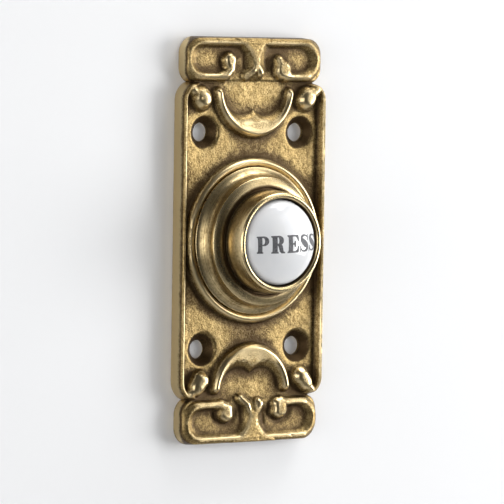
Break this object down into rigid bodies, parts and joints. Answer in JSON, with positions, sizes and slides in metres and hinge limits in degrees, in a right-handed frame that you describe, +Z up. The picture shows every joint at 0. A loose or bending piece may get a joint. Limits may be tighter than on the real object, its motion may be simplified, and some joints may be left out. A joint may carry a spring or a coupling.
{
  "type": "doorbell push button",
  "caption": "Antique cast brass bell push plate with scroll ornament, a turned boss and a domed porcelain push that travels in and springs back.",
  "frame": {"origin": "centre of the plate's back face, which is the centre of the screw hole pattern", "axes": "+Z up the plate, +X to the viewer's right, -Y out of the front; the wall is the plane y = 0"},
  "size_m": [0.0396, 0.0174, 0.0906],
  "materials": {
    "cast_brass": "satin",
    "turned_brass": "satin",
    "porcelain": "gloss",
    "ebonite": "satin",
    "spring_bronze": "satin",
    "contact_brass": "satin",
    "fastener_brass": "satin",
    "screw_steel": "satin"
  },
  "bodies": {
    "plate": {"back_plate": "cast_brass", "bezel": "turned_brass", "contact_block": "ebonite", "moving_contact": "spring_bronze", "fixed_contact": "contact_brass", "moving_terminal_screw": "fastener_brass", "moving_terminal_washer": "fastener_brass", "moving_terminal_nut": "fastener_brass", "fixed_terminal_screw": "fastener_brass", "fixed_terminal_washer": "fastener_brass", "fixed_terminal_nut": "fastener_brass", "upper_block_screw": "screw_steel", "lower_block_screw": "screw_steel"},
    "push": {"push_button": "porcelain"}
  },
  "joints": [
    {"name": "push_travel", "type": "slide", "parent": "plate", "child": "push", "axis": [0, 1, 0], "range_m": [0, 0.0015], "stiffness_N_per_m": 900, "springref_m": -0.001, "deforming": ["moving_contact"]}
  ]
}
